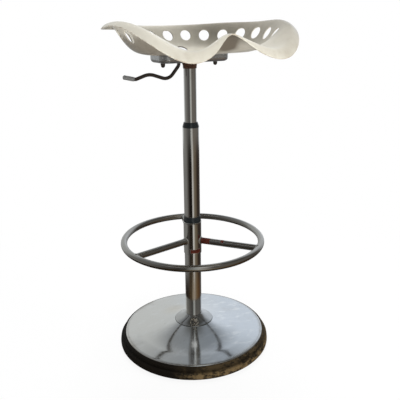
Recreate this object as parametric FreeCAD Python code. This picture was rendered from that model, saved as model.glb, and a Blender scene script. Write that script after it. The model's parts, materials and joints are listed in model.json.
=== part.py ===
"""Tractor seat stool: a pressed steel tractor seat on a gas lift column, with a foot ring and a round base.

Frame: millimetres, +Z up, origin on the floor in the column's axis, the front of the seat towards -Y.
"""

import FreeCAD, Part
import math
import os

from FreeCAD import Vector

os.makedirs("parts", exist_ok=True)

up = Vector(0, 0, 1)
origin = Vector(0, 0, 0)

# General fits
running_gap = 0.05  # radial gap of a shaft that turns or slides in its bore
moving_gap = 0.3  # gap between curved faces of pieces that pass each other
bolt_play = 0.3  # radial play of a bolt in its hole

# Base
base_radius = 197.5
cover_radius = 183.5
cover_rim_z = 33.0
cover_wall = 1.5
cover_bend_radius = 146.0
cover_bend_z = 37.0
cover_crown_radius = 50.0
cover_crown_z = 57.5
cover_bore_play = 3.0
cover_flange_depth = 9.0
ring_foot = 4.0
weight_radius = 180.0
weight_height = 12.0
weight_hub_radius = 60.0
weight_hub_height = 14.0
weight_bore_radius = 20.0

# Column and its flange
column_step = 1.0
column_step_z = 290.0
column_step_height = 6.0
column_wall = 2.0
column_top_z = 576.0
flange_radius = 55.0
flange_thickness = 6.0
flange_bolt_circle = 84.0
flange_bolt_d = 8.0
flange_bolt_length = 26.0
flange_bolt_count = 4
trim_radius = 49.5
trim_height = 17.3
trim_edge = 1.2
trim_wall = 0.9
trim_sag = 1.2
bush_wall = 3.0
bush_length = 70.0
bush_collar_height = 12.5
bush_collar_rim = 2.0
bush_nose_wall = 1.2

# Foot rest
foot_ring_radius = 175.0
foot_ring_d = 16.0
foot_ring_z = 285.0
spoke_d = 16.0
spoke_count = 3
spoke_angle = 70.0
sleeve_bottom_z = 250.0
sleeve_top_z = 336.0
sleeve_wall = 1.5
sleeve_bead = 0.8
liner_collar_height = 14.0
screw_d = 6.0
screw_z = 263.0
screw_angles = (10.0, 130.0)

# Gas spring
cylinder_d = 30.0
cylinder_wall = 1.8
cylinder_length = 301.0
cylinder_top_z = 734.0
cylinder_lip = 1.5
tube_d = 25.0
tube_wall = 1.0
guide_height = 12.0
seal_height = 4.0
valve_height = 38.0
pin_d = 8.0
pin_length = 39.0
pin_proud = 5.0
pin_dome_radius = 8.0
rod_d = 10.0
piston_height = 14.0
piston_bottom_z = 524.0
piston_ring_height = 4.0
race_thickness = 2.5
race_radius = 13.0
roller_d = 4.0
roller_length = 4.6
roller_gap = 0.1
roller_count = 8
shoulder_radius = 8.0
shoulder_height = 4.0
bumper_radius = 12.0
bumper_height = 12.0
clip_thickness = 1.4
clip_radius = 9.0
rod_end = 4.0

# Seat bracket, lever and bolts
bracket_bottom_z = 729.0
bracket_length = 176.0
bracket_width = 84.0
bracket_depth = 17.0
bracket_wall = 2.5
bracket_corner = 22.0
bracket_edge = 9.0
gasket_thickness = 3.0
gasket_band = 14.0
socket_height = 15.0
socket_foot_wall = 1.0
socket_flare = 5.0
seat_bolt_spacing = 137.0
seat_bolt_d = 6.0
bolt_head_d = 11.5
bolt_head_height = 3.4
washer_d = 16.0
washer_thickness = 1.4
spacer_wall = 2.7
nut_flats = 10.0
nut_height = 5.0
nut_dome = 6.0
lever_d = 8.0
tongue_width = 12.0
tongue_thickness = 4.0
tongue_reach = 7.0
slot_play = 2.5
pivot_behind = 5.5
pivot_d = 5.0
pivot_drop = 2.7
pin_gap = 0.3
ear_thickness = 2.5
ear_half_gap = 9.0
ear_width = 16.0
ear_cap = 2.2
pivot_ring_width = 1.2
sleeve_grip_length = 23.0
sleeve_grip_wall = 0.9
sleeve_grip_end = 2.4

# Centre line of the lever beyond its drop through the bracket's floor: x, z, bend radius
lever_route = (
    (-55.5, 690.5, 24.0),
    (-103.5, 706.5, 40.0),
    (-137.0, 696.0, 14.0),
    (-163.5, 702.0, 0.0),
)
lever_drop_behind = 8.0
lever_drop_z = 721.5
lever_drop_bends = (6.5, 12.0)

# Seat pan
pan_sheet = 2.5
pan_floor_half_width = 84.0
pan_floor_half_depth = 52.0
pan_forward = 33.0
hole_length = 31.0
hole_width = 25.0
hole_pitch = 46.2
hole_level = 0.785
hole_row_half = 7
floor_holes = ((0.5, 0.43), (3.5, 0.40), (6.5, 0.34))

# Stations round the pan, from the middle of the front to the middle of the back:
# angle, crest radius, crest height over the floor, lip width, lip drop, wall exponent
pan_stations = (
    (0.0, 142.0, 42.0, 10.0, 0.0, 1.9),
    (15.0, 158.0, 27.5, 19.5, 17.0, 1.4),
    (32.0, 192.0, 11.5, 23.0, 20.5, 0.9),
    (52.0, 205.0, 43.5, 22.0, 15.5, 1.5),
    (74.0, 200.0, 67.0, 17.5, 9.0, 2.5),
    (98.0, 195.0, 64.5, 17.5, 10.5, 2.4),
    (126.0, 182.0, 62.0, 15.5, 11.0, 2.7),
    (153.0, 173.0, 58.0, 14.5, 12.0, 2.5),
    (180.0, 171.0, 56.5, 13.5, 12.5, 2.4),
)
pan_ring_points = 48
pan_wall_rings = 12
pan_lip_rings = 3

# Levels that follow from the sizes above
cylinder_r = cylinder_d / 2
bore_r = cylinder_r + bush_wall
column_r = bore_r + column_wall
lower_r = column_r + column_step
step_top_z = column_step_z + column_step_height
rod_r = rod_d / 2
weight_top_z = ring_foot + weight_height
flange_z = weight_top_z + weight_hub_height
column_z = flange_z + flange_thickness
cylinder_bottom_z = cylinder_top_z - cylinder_length - cylinder_lip
cylinder_bore_r = cylinder_r - cylinder_wall
tube_bore_r = tube_d / 2 - tube_wall
guide_top_z = cylinder_bottom_z + cylinder_lip + guide_height
valve_bottom_z = cylinder_top_z - cylinder_lip - valve_height
pin_top_z = cylinder_top_z + pin_proud
pivot_z = pin_top_z + pin_gap + pivot_drop
sleeve_bore_r = lower_r + running_gap
sleeve_r = sleeve_bore_r + sleeve_wall
cover_bore_radius = lower_r + cover_bore_play
pivot_x = -cylinder_r - pivot_behind
lever_drop_x = pivot_x - lever_drop_behind
bracket_floor_z = bracket_bottom_z + bracket_wall
bracket_top_z = bracket_bottom_z + bracket_depth
pan_under_z = bracket_top_z + gasket_thickness
pan_floor_z = pan_under_z + pan_sheet
race_top_z = column_z + race_thickness
upper_race_z = race_top_z + roller_d + 2 * roller_gap
shoulder_z = upper_race_z + race_thickness


def save(node, *shapes):
    """Write one node as a STEP file."""
    shape = shapes[0] if len(shapes) == 1 else Part.makeCompound(list(shapes))
    shape.exportStep(os.path.join("parts", node + ".step"))


def turned(outline):
    """Revolve a closed outline of (r, z) points.

    A point of four numbers ends an arc, which passes through its last two.
    """
    points = [Vector(p[0], 0, p[1]) for p in outline]
    edges = []
    for i, entry in enumerate(outline):
        start = points[i - 1]
        end = points[i]
        if len(entry) == 4:
            edges.append(Part.Arc(start, Vector(entry[2], 0, entry[3]), end).toShape())
        else:
            edges.append(Part.makeLine(start, end))
    face = Part.Face(Part.Wire(Part.__sortEdges__(edges)))
    return face.revolve(origin, up, 360)


def disc(radius, z0, z1):
    return Part.makeCylinder(radius, z1 - z0, Vector(0, 0, z0))


def tube(outer, inner, z0, z1):
    return disc(outer, z0, z1).cut(disc(inner, z0 - 1, z1 + 1))


def at_angle(shape, degrees):
    """A copy turned about the column's axis."""
    copy = shape.copy()
    copy.rotate(origin, up, degrees)
    return copy


def around(shape, count, first=0.0):
    return [at_angle(shape, first + 360.0 * i / count) for i in range(count)]


def hexagon(flats, z0, z1):
    corner = flats / math.sqrt(3)
    corners = [
        Vector(corner * math.cos(math.radians(60 * i)), corner * math.sin(math.radians(60 * i)), z0)
        for i in range(7)
    ]
    return Part.Face(Part.makePolygon(corners)).extrude(Vector(0, 0, z1 - z0))


def rounded_block(length, width, corner, edge, z0, z1):
    """A block with rounded plan corners and a rounded bottom edge."""
    block = Part.makeBox(length, width, z1 - z0, Vector(-length / 2, -width / 2, z0))
    uprights = [e for e in block.Edges if abs(e.Vertexes[0].Z - e.Vertexes[1].Z) > 1]
    block = block.makeFillet(corner, uprights)
    if edge > 0:
        bottom = [e for e in block.Edges if e.BoundBox.ZMax < z0 + 0.01]
        block = block.makeFillet(edge, bottom)
    return block


# Base


def base_ring():
    """Rubber edge: foot, band, groove and bead outside, a slot for the cover's flange inside."""
    outer = base_radius
    slot = cover_radius - cover_wall
    lip = weight_radius - 8.0
    flange_foot = cover_rim_z - cover_flange_depth
    outline = (
        (lip, 0.0),
        (outer - 4.0, 0.0),
        (outer - 1.0, 1.6),
        (outer, 5.0),
        (outer - 0.4, 14.0),
        (outer - 4.5, 20.0, outer - 1.2, 18.4),
        (outer - 8.5, 20.8),
        (outer - 9.6, 22.0),
        (outer - 8.6, 23.6),
        (outer - 9.2, 28.2, outer - 7.1, 26.2),
        (cover_radius + 1.0, cover_rim_z - 1.8),
        (cover_radius, cover_rim_z - 1.8),
        (cover_radius, flange_foot),
        (slot, flange_foot),
        (slot, cover_rim_z - cover_wall - 3.2),
        (weight_radius, cover_rim_z - cover_wall - 3.2),
        (weight_radius, ring_foot),
        (lip, ring_foot),
    )
    return turned(outline)


def base_weight():
    """Cast disc with a raised hub, threaded holes for the flange and a pocket for the rod's end."""
    outline = (
        (weight_bore_radius, ring_foot),
        (weight_radius, ring_foot),
        (weight_radius, weight_top_z - 2.0),
        (weight_radius - 2.0, weight_top_z),
        (weight_hub_radius + weight_hub_height, weight_top_z),
        (weight_hub_radius, flange_z),
        (weight_bore_radius, flange_z),
    )
    depth = weight_height + weight_hub_height + 2
    hole = Part.makeCylinder(flange_bolt_d / 2, depth, bolt_place(ring_foot - 1))
    return turned(outline).cut(Part.makeCompound(around(hole, flange_bolt_count, 45)))


def bolt_place(z):
    return Vector(flange_bolt_circle / 2, 0, z)


def column_flange():
    plate = tube(flange_radius, rod_r + running_gap, flange_z, column_z)
    hole = Part.makeCylinder(flange_bolt_d / 2 + bolt_play, flange_thickness + 2, bolt_place(flange_z - 1))
    return plate.cut(Part.makeCompound(around(hole, flange_bolt_count, 45)))


def flange_bolts():
    head = hexagon(1.6 * flange_bolt_d, column_z, column_z + 0.65 * flange_bolt_d)
    shank = disc(flange_bolt_d / 2, column_z - flange_bolt_length, column_z)
    bolt = head.fuse(shank)
    bolt.translate(bolt_place(0))
    return around(bolt, flange_bolt_count, 45)


def base_cover():
    """Spun dish: a hollow trumpet from the crown to the bend, then a flat rim turned down at its edge."""
    drop = cover_wall
    rim = cover_radius
    flange_foot = cover_rim_z - cover_flange_depth
    mid_r = (cover_crown_radius + cover_bend_radius) / 2
    mid_z = (cover_crown_z + cover_bend_z) / 2 - 3.6
    crown_rise = 2.5
    outline = (
        (cover_bore_radius, cover_crown_z + crown_rise),
        (cover_crown_radius, cover_crown_z),
        (cover_bend_radius, cover_bend_z, mid_r, mid_z),
        (rim - 3.0, cover_rim_z + 0.2),
        (rim - 0.8, cover_rim_z - 0.8),
        (rim, cover_rim_z - 2.6),
        (rim, flange_foot),
        (rim - drop, flange_foot),
        (rim - drop, cover_rim_z - 2.8),
        (rim - 3.4, cover_rim_z - drop + 0.2),
        (cover_bend_radius, cover_bend_z - drop),
        (cover_crown_radius, cover_crown_z - drop, mid_r, mid_z - drop),
        (cover_bore_radius, cover_crown_z + crown_rise - drop),
    )
    return turned(outline)


def column_cover():
    """Cone of thin sheet, slightly hollow in outline, that hides the hole in the dish round the column."""
    foot_z = cover_crown_z + moving_gap
    top_z = foot_z + trim_height
    bore = lower_r + 0.1
    mid_r = (trim_radius + bore + trim_wall) / 2 - trim_sag
    mid_z = (foot_z + trim_edge + top_z) / 2 - trim_sag
    outline = (
        (trim_radius, foot_z),
        (trim_radius, foot_z + trim_edge),
        (bore + trim_wall, top_z, mid_r, mid_z),
        (bore, top_z),
        (bore, top_z - 1.4),
        (trim_radius - 1.8, foot_z, mid_r - trim_wall, mid_z - trim_wall),
    )
    return turned(outline)


# Column and foot rest


def outer_column():
    """Tube, a little wider below the foot rest than above it."""
    outline = (
        (bore_r + column_step, column_z),
        (lower_r, column_z),
        (lower_r, column_step_z),
        (column_r, step_top_z),
        (column_r, column_top_z),
        (bore_r, column_top_z),
        (bore_r, step_top_z),
        (bore_r + column_step, column_step_z),
    )
    return turned(outline)


def guide_bush():
    """Plastic bush: long sleeve inside the column and a tapered collar on its top edge."""
    bore = cylinder_r + running_gap
    top_z = column_top_z + bush_collar_height
    outline = (
        (bore, column_top_z - bush_length),
        (bore_r, column_top_z - bush_length),
        (bore_r, column_top_z),
        (column_r, column_top_z),
        (column_r, column_top_z + bush_collar_rim),
        (bore + bush_nose_wall + 0.8, top_z - 0.8),
        (bore + bush_nose_wall, top_z),
        (bore, top_z),
    )
    return turned(outline)


def screw_holes():
    """Radial bores of the grub screws through the sleeve."""
    bore = Part.makeCylinder(screw_d / 2, 10, Vector(lower_r, 0, screw_z), Vector(1, 0, 0))
    return Part.makeCompound([at_angle(bore, angle) for angle in screw_angles])


def footrest_sleeve():
    top = sleeve_top_z
    bead = sleeve_r + sleeve_bead
    outline = (
        (sleeve_bore_r, sleeve_bottom_z),
        (sleeve_r - 0.5, sleeve_bottom_z),
        (sleeve_r, sleeve_bottom_z + 0.5),
        (sleeve_r, top - 3.4),
        (bead, top - 2.4),
        (bead, top - 0.8),
        (sleeve_r, top),
        (sleeve_bore_r, top),
    )
    return turned(outline).cut(screw_holes())


def footrest_liner():
    """Plastic liner round the upper tube inside the sleeve, with a tapered collar on the sleeve's edge."""
    top = sleeve_top_z + liner_collar_height
    outline = (
        (column_r, step_top_z),
        (sleeve_bore_r, step_top_z),
        (sleeve_bore_r, sleeve_top_z),
        (sleeve_r - 0.4, sleeve_top_z),
        (sleeve_r - 0.6, sleeve_top_z + 4.0),
        (column_r + 0.8, top - 0.6),
        (column_r + 0.3, top),
        (column_r, top),
    )
    return turned(outline)


def footrest_screws():
    outwards = Vector(1, 0, 0)
    screw = Part.makeCylinder(screw_d / 2, sleeve_r - lower_r + 1.0, Vector(lower_r, 0, screw_z), outwards)
    socket = Part.makeCylinder(screw_d / 4, 2.0, Vector(sleeve_r - 1.0, 0, screw_z), outwards)
    flat = disc(lower_r, screw_z - screw_d, screw_z + screw_d)
    screw = screw.cut(socket).cut(flat)
    return [at_angle(screw, angle) for angle in screw_angles]


def foot_torus():
    return Part.makeTorus(foot_ring_radius, foot_ring_d / 2, Vector(0, 0, foot_ring_z))


def footrest_spokes():
    """Round bars, coped to the sleeve and to the ring."""
    bar = Part.makeCylinder(spoke_d / 2, foot_ring_radius, Vector(0, 0, foot_ring_z), Vector(1, 0, 0))
    bar = bar.cut(disc(sleeve_r, foot_ring_z - spoke_d, foot_ring_z + spoke_d)).cut(foot_torus())
    bar = max(bar.Solids, key=lambda s: s.Volume)
    return around(bar, spoke_count, spoke_angle)


# Gas spring


def gas_cylinder():
    """Outer tube with both ends rolled in over the guide and the valve."""
    low = cylinder_bottom_z
    high = cylinder_top_z
    lip = cylinder_lip
    outline = (
        (rod_r + 2.5, low),
        (cylinder_r - 0.6 * lip, low),
        (cylinder_r, low + 0.6 * lip),
        (cylinder_r, high - 0.6 * lip),
        (cylinder_r - 0.6 * lip, high),
        (pin_d / 2 + 2.0, high),
        (pin_d / 2 + 2.0, high - lip),
        (cylinder_bore_r, high - lip),
        (cylinder_bore_r, low + lip),
        (rod_r + 2.5, low + lip),
    )
    return turned(outline)


def pressure_tube():
    return tube(tube_d / 2, tube_bore_r, guide_top_z, valve_bottom_z)


def rod_guide():
    return tube(cylinder_bore_r, rod_r + running_gap, cylinder_bottom_z + cylinder_lip, guide_top_z)


def rod_seal():
    """Lip seal on the guide, thinner towards the rod."""
    lip = rod_r + 2 * running_gap
    outline = (
        (lip + 1.2, guide_top_z),
        (tube_bore_r, guide_top_z),
        (tube_bore_r, guide_top_z + seal_height),
        (lip + 2.0, guide_top_z + seal_height),
        (lip, guide_top_z + seal_height - 1.0),
        (lip, guide_top_z + 1.2),
    )
    return turned(outline)


def valve_body():
    """Plug with a seal groove and the bore of the release pin."""
    bore = pin_d / 2 + running_gap
    top = cylinder_top_z - cylinder_lip
    groove = valve_bottom_z + 12.0
    outline = (
        (bore, valve_bottom_z),
        (cylinder_bore_r, valve_bottom_z),
        (cylinder_bore_r, groove),
        (cylinder_bore_r - 2.0, groove),
        (cylinder_bore_r - 2.0, groove + 3.0),
        (cylinder_bore_r, groove + 3.0),
        (cylinder_bore_r, top),
        (bore, top),
    )
    return turned(outline)


def release_pin():
    """Valve button with a domed top."""
    r = pin_d / 2
    dome = pin_dome_radius
    shoulder = pin_top_z - dome + math.sqrt(dome * dome - r * r)
    half = math.radians(0.5 * math.degrees(math.asin(r / dome)))
    outline = (
        (0.0, pin_top_z - pin_length),
        (r, pin_top_z - pin_length),
        (r, shoulder),
        (0.0, pin_top_z, dome * math.sin(half), pin_top_z - dome + dome * math.cos(half)),
    )
    return turned(outline)


def piston():
    """Piston with a ring groove, screwed on the rod."""
    low = piston_bottom_z
    outer = tube_bore_r - moving_gap
    groove = low + (piston_height - piston_ring_height) / 2
    outline = (
        (0.6 * rod_r, low),
        (outer, low),
        (outer, groove),
        (outer - 2.0, groove),
        (outer - 2.0, groove + piston_ring_height),
        (outer, groove + piston_ring_height),
        (outer, low + piston_height),
        (0.6 * rod_r, low + piston_height),
    )
    return turned(outline)


def piston_ring():
    low = piston_bottom_z + (piston_height - piston_ring_height) / 2
    return tube(tube_bore_r - 2 * running_gap, tube_bore_r - moving_gap - 2.0, low, low + piston_ring_height)


def piston_rod():
    """Rod with a shoulder over the thrust bearing, a clip groove below and a stud for the piston above."""
    low = flange_z - rod_end
    groove = flange_z - clip_thickness
    outline = (
        (0.0, low),
        (rod_r, low),
        (rod_r, groove - clip_thickness),
        (rod_r - 1.2, groove - clip_thickness),
        (rod_r - 1.2, groove),
        (rod_r, groove),
        (rod_r, shoulder_z),
        (shoulder_radius, shoulder_z),
        (shoulder_radius, shoulder_z + shoulder_height),
        (rod_r, shoulder_z + shoulder_height),
        (rod_r, piston_bottom_z),
        (0.6 * rod_r, piston_bottom_z),
        (0.6 * rod_r, piston_bottom_z + piston_height + 3.0),
        (0.0, piston_bottom_z + piston_height + 3.0),
    )
    return turned(outline)


def rod_bumper():
    low = shoulder_z + shoulder_height
    high = low + bumper_height
    outline = (
        (rod_r, low),
        (bumper_radius - 2.0, low),
        (bumper_radius, low + 3.0),
        (bumper_radius - 1.5, low + 0.5 * bumper_height),
        (bumper_radius, high - 3.0),
        (bumper_radius - 2.0, high),
        (rod_r, high),
    )
    return turned(outline)


def rod_clip():
    """Open ring in the rod's groove under the flange."""
    groove = flange_z - clip_thickness
    ring = tube(clip_radius, rod_r - 1.2, groove - clip_thickness, groove)
    corner = Vector(0, -0.8 * rod_r, groove - 1.5 * clip_thickness)
    return ring.cut(Part.makeBox(clip_radius + 1, 1.6 * rod_r, 2 * clip_thickness, corner))


def rod_washer():
    return tube(clip_radius + 1.0, rod_r, flange_z - clip_thickness, flange_z - moving_gap)


def bearing_race(z):
    return tube(race_radius, rod_r + moving_gap, z, z + race_thickness)


def upper_race():
    return tube(race_radius, rod_r, upper_race_z, upper_race_z + race_thickness)


def roller_ring(play):
    """Rollers that lie like spokes between the races; play widens them to their pockets in the cage."""
    length = roller_length + 2 * play
    start = Vector((race_radius + rod_r - length) / 2, 0, race_top_z + roller_gap + roller_d / 2)
    return around(Part.makeCylinder(roller_d / 2 + play, length, start, Vector(1, 0, 0)), roller_count)


def bearing_cage():
    z = race_top_z + roller_gap + roller_d / 2
    ring = tube(race_radius - 0.6, rod_r + moving_gap, z - 0.9, z + 0.9)
    return ring.cut(Part.makeCompound(roller_ring(roller_gap)))


# Seat bracket and lever


def bolt_holes(radius, z0, z1):
    bore = Part.makeCylinder(radius, z1 - z0, Vector(seat_bolt_spacing / 2, 0, z0))
    return Part.makeCompound(around(bore, 2))


def lever_slot():
    """Opening in the bracket's floor that the lever comes down through."""
    width = lever_d + 2 * slot_play
    near = -cylinder_r - socket_flare - 0.7
    far = lever_drop_x - lever_d / 2 - slot_play
    corner = Vector(far, -width / 2, bracket_bottom_z - bracket_wall)
    return Part.makeBox(near - far, width, 3 * bracket_wall, corner)


def seat_bracket():
    """Pressed tray, open upwards, with rounded ends and a rounded bottom edge."""
    wall = bracket_wall
    tray = rounded_block(
        bracket_length,
        bracket_width,
        bracket_corner,
        bracket_edge,
        bracket_bottom_z,
        bracket_top_z,
    )
    hollow = rounded_block(
        bracket_length - 2 * wall,
        bracket_width - 2 * wall,
        bracket_corner - wall,
        bracket_edge - wall,
        bracket_floor_z,
        bracket_top_z + bracket_edge,
    )
    tray = tray.cut(hollow).cut(disc(cylinder_r, bracket_bottom_z - 1, bracket_floor_z + 1))
    tray = tray.cut(bolt_holes(seat_bolt_d / 2 + bolt_play, bracket_bottom_z - 1, bracket_floor_z + 1))
    return tray.cut(lever_slot())


def bracket_gasket():
    """Rubber sheet between bracket and pan, cut out over the lever."""
    inset = 1.0
    length = bracket_length - 2 * inset
    width = bracket_width - 2 * inset
    sheet = rounded_block(length, width, bracket_corner - inset, 0, bracket_top_z, pan_under_z)
    window = rounded_block(
        seat_bolt_spacing - 2 * gasket_band,
        width - 2 * gasket_band,
        bracket_corner - gasket_band,
        0,
        bracket_top_z - 1,
        pan_under_z + 1,
    )
    spacer_r = seat_bolt_d / 2 + bolt_play + spacer_wall
    return sheet.cut(window).cut(bolt_holes(spacer_r, bracket_top_z - 1, pan_under_z + 1))


def bracket_spacers():
    inner = seat_bolt_d / 2 + bolt_play
    spacer = tube(inner + spacer_wall, inner, bracket_floor_z, pan_under_z)
    spacer.translate(Vector(seat_bolt_spacing / 2, 0, 0))
    return around(spacer, 2)


def cone_socket():
    """Flared collar under the bracket that grips the cylinder's top."""
    low = bracket_bottom_z - socket_height
    foot = cylinder_r + socket_foot_wall
    flare = cylinder_r + socket_flare
    outline = (
        (cylinder_r, low),
        (foot, low),
        (foot + 0.5, low + 0.5 * socket_height),
        (foot + 1.8, bracket_bottom_z - 4.0),
        (flare, bracket_bottom_z - 1.6),
        (flare, bracket_bottom_z),
        (cylinder_r, bracket_bottom_z),
    )
    return turned(outline)


def pivot_ears():
    """Two upright ears on the bracket's floor, tapered to a round top, that carry the lever's pin."""
    cap_radius = pivot_d / 2 + ear_cap
    corners = (
        (-ear_width / 2, bracket_floor_z),
        (ear_width / 2, bracket_floor_z),
        (ear_width / 2, bracket_floor_z + 3.0),
        (cap_radius, pivot_z),
        (-cap_radius, pivot_z),
        (-ear_width / 2, bracket_floor_z + 3.0),
        (-ear_width / 2, bracket_floor_z),
    )
    ears = []
    for y in (ear_half_gap, -ear_half_gap - ear_thickness):
        outline = Part.makePolygon([Vector(pivot_x + x, y, z) for x, z in corners])
        ear = Part.Face(outline).extrude(Vector(0, ear_thickness, 0))
        cap = Part.makeCylinder(cap_radius, ear_thickness, Vector(pivot_x, y, pivot_z), Vector(0, 1, 0))
        ears.append(ear.fuse(cap).removeSplitter().cut(pivot_bore(pivot_d / 2)))
    return ears


def pivot_bore(radius):
    return Part.makeCylinder(radius, 60, Vector(pivot_x, -30, pivot_z), Vector(0, 1, 0))


def pivot_half_length():
    return ear_half_gap + ear_thickness + pivot_ring_width + 1.0


def pivot_pin():
    half = pivot_half_length()
    return Part.makeCylinder(pivot_d / 2, 2 * half, Vector(pivot_x, -half, pivot_z), Vector(0, 1, 0))


def pivot_rings():
    """Push-on rings that keep the pin in the ears."""
    rings = []
    for side in (-1, 1):
        y = side * (ear_half_gap + ear_thickness)
        way = Vector(0, side, 0)
        outer = Part.makeCylinder(pivot_d / 2 + 1.8, pivot_ring_width, Vector(pivot_x, y, pivot_z), way)
        rings.append(outer.cut(pivot_bore(pivot_d / 2)))
    return rings


def rounded_path(points, radii):
    """A wire of straight runs joined by tangent arcs of the given radii."""
    edges = []
    start = points[0]
    for i in range(1, len(points) - 1):
        into = (points[i] - points[i - 1]).normalize()
        out = (points[i + 1] - points[i]).normalize()
        turn = into.getAngle(out)
        back = radii[i] * math.tan(turn / 2)
        first = points[i] - into * back
        last = points[i] + out * back
        bisector = (out - into).normalize()
        middle = points[i] + bisector * (radii[i] / math.cos(turn / 2) - radii[i])
        if (first - start).Length > 0.01:
            edges.append(Part.makeLine(start, first))
        edges.append(Part.Arc(first, middle, last).toShape())
        start = last
    edges.append(Part.makeLine(start, points[-1]))
    return Part.Wire(edges)


def lever_points():
    centre_z = tongue_bottom_z() + lever_d / 2
    heights = (centre_z, lever_drop_z)
    inner = [Vector(pivot_x - 1.0, 0, centre_z)] + [Vector(lever_drop_x, 0, z) for z in heights]
    return inner + [Vector(x, 0, z) for x, z, _ in lever_route]


def tongue_bottom_z():
    return pin_top_z + pin_gap


def release_lever():
    """Bent round bar whose inner end is flattened to a tongue over the valve pin."""
    points = lever_points()
    path = rounded_path(points, [0.0, *lever_drop_bends] + [r for _, _, r in lever_route])
    ring = Part.Wire(Part.makeCircle(lever_d / 2, points[0], Vector(1, 0, 0)))
    bar = path.makePipeShell([ring], True, False)
    z = tongue_bottom_z()
    half = tongue_width / 2
    start = Vector(pivot_x - half, -half, z)
    tongue = Part.makeBox(tongue_reach - start.x, tongue_width, tongue_thickness, start)
    upright = [e for e in tongue.Edges if abs(e.Vertexes[0].Z - e.Vertexes[1].Z) > 1]
    tongue = tongue.makeFillet(0.9 * half, [e for e in upright if e.BoundBox.XMin > 0])
    eye_start = Vector(pivot_x, -half, pivot_z)
    eye = Part.makeCylinder(lever_d / 2 + 0.6, tongue_width, eye_start, Vector(0, 1, 0))
    below_start = Vector(pivot_x - lever_d, -tongue_width, z - lever_d)
    below = Part.makeBox(2 * lever_d, 2 * tongue_width, lever_d, below_start)
    lever = bar.fuse(tongue).fuse(eye.cut(below)).removeSplitter()
    return lever.cut(pivot_bore(pivot_d / 2 + 2 * running_gap))


def lever_grip():
    """Grey end sleeve on the last straight stretch of the bar, with a bevelled tip."""
    points = lever_points()
    tip = points[-1]
    back = (points[-2] - tip).normalize()
    outer = lever_d / 2 + sleeve_grip_wall
    end = tip - back * sleeve_grip_end
    grip = Part.makeCylinder(outer, sleeve_grip_length + sleeve_grip_end, end, back)
    rims = [e for e in grip.Edges if e.Curve.TypeId == "Part::GeomCircle"]
    tip_rim = min(rims, key=lambda e: (e.CenterOfMass - end).Length)
    grip = grip.makeChamfer(0.4 * outer, [tip_rim])
    return grip.cut(Part.makeCylinder(lever_d / 2, sleeve_grip_length + 5, tip, back))


def seat_bolts():
    """Button-head bolts from the pan down through the bracket."""
    head_z = pan_floor_z + washer_thickness
    r = bolt_head_d / 2
    tip_z = bracket_bottom_z - nut_height - 0.5 * nut_dome
    outline = (
        (0.0, tip_z),
        (seat_bolt_d / 2, tip_z),
        (seat_bolt_d / 2, head_z),
        (r, head_z),
        (r, head_z + 0.6),
        (0.45 * r, head_z + bolt_head_height, 0.86 * r, head_z + 0.75 * bolt_head_height),
        (0.3 * r, head_z + bolt_head_height),
        (0.3 * r, head_z + 0.4 * bolt_head_height),
        (0.0, head_z + 0.4 * bolt_head_height),
    )
    bolt = turned(outline)
    bolt.translate(Vector(seat_bolt_spacing / 2, 0, 0))
    return around(bolt, 2)


def seat_washers():
    washer = tube(washer_d / 2, seat_bolt_d / 2 + bolt_play, pan_floor_z, pan_floor_z + washer_thickness)
    washer.translate(Vector(seat_bolt_spacing / 2, 0, 0))
    return around(washer, 2)


def dome_nuts():
    """Cap nuts under the bracket."""
    top = bracket_bottom_z
    low = top - nut_height
    r = nut_flats / 2
    dome = turned(
        (
            (0.0, low - nut_dome),
            (0.94 * r, low - 0.8, 0.72 * r, low - 0.72 * nut_dome),
            (0.94 * r, low + 1.0),
            (0.0, low + 1.0),
        )
    )
    nut = hexagon(nut_flats, low, top).fuse(dome).removeSplitter()
    nut = nut.cut(disc(seat_bolt_d / 2, low - 0.5 * nut_dome, top + 1))
    nut.translate(Vector(seat_bolt_spacing / 2, 0, 0))
    return around(nut, 2)


# Seat pan


def station_curve(columns):
    """Closed smooth curve through three columns of the stations, mirrored left to right, by angle."""
    half = [(math.radians(s[0]), Vector(*[s[c] for c in columns])) for s in pan_stations]
    mirrored = [(2 * math.pi - a, v) for a, v in reversed(half[1:-1])]
    angles = [a for a, _ in half + mirrored] + [2 * math.pi]
    curve = Part.BSplineCurve()
    curve.interpolate(Points=[v for _, v in half + mirrored], PeriodicFlag=True, Parameters=angles)
    return curve


crest_curve = station_curve((1, 2, 5))
lip_curve = station_curve((3, 4, 0))


def pan_point(angle, level):
    """Point of the pan's top face.

    Level 0 is the edge of the flat floor, 1 the crest and 2 the free edge. The wall rises as half a
    cosine wave of the level raised to the station's exponent. The lip falls from the crest as a parabola.
    """
    angle = angle % (2 * math.pi)
    crest = crest_curve.value(angle)
    across = math.sin(angle) / pan_floor_half_width
    along = math.cos(angle) / pan_floor_half_depth
    floor_r = 1 / math.hypot(across, along)
    if level <= 1:
        r = floor_r + (crest.x - floor_r) * level
        z = crest.y * (1 - math.cos(math.pi * max(level, 0.0) ** crest.z)) / 2
    else:
        lip = lip_curve.value(angle)
        r = crest.x + lip.x * (level - 1)
        z = crest.y - lip.y * (level - 1) ** 2
    return Vector(r * math.sin(angle), -pan_forward - r * math.cos(angle), pan_floor_z + z)


def pan_normal(angle, level):
    """Unit normal of the top face, pointing up or inwards."""
    step = 1e-4
    low = max(level - step, 0.0)
    outward = pan_point(angle, level + step) - pan_point(angle, low)
    round_way = pan_point(angle + step, level) - pan_point(angle - step, level)
    normal = round_way.cross(outward)
    if normal.z < 0:
        normal = -normal
    return normal.normalize()


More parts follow.
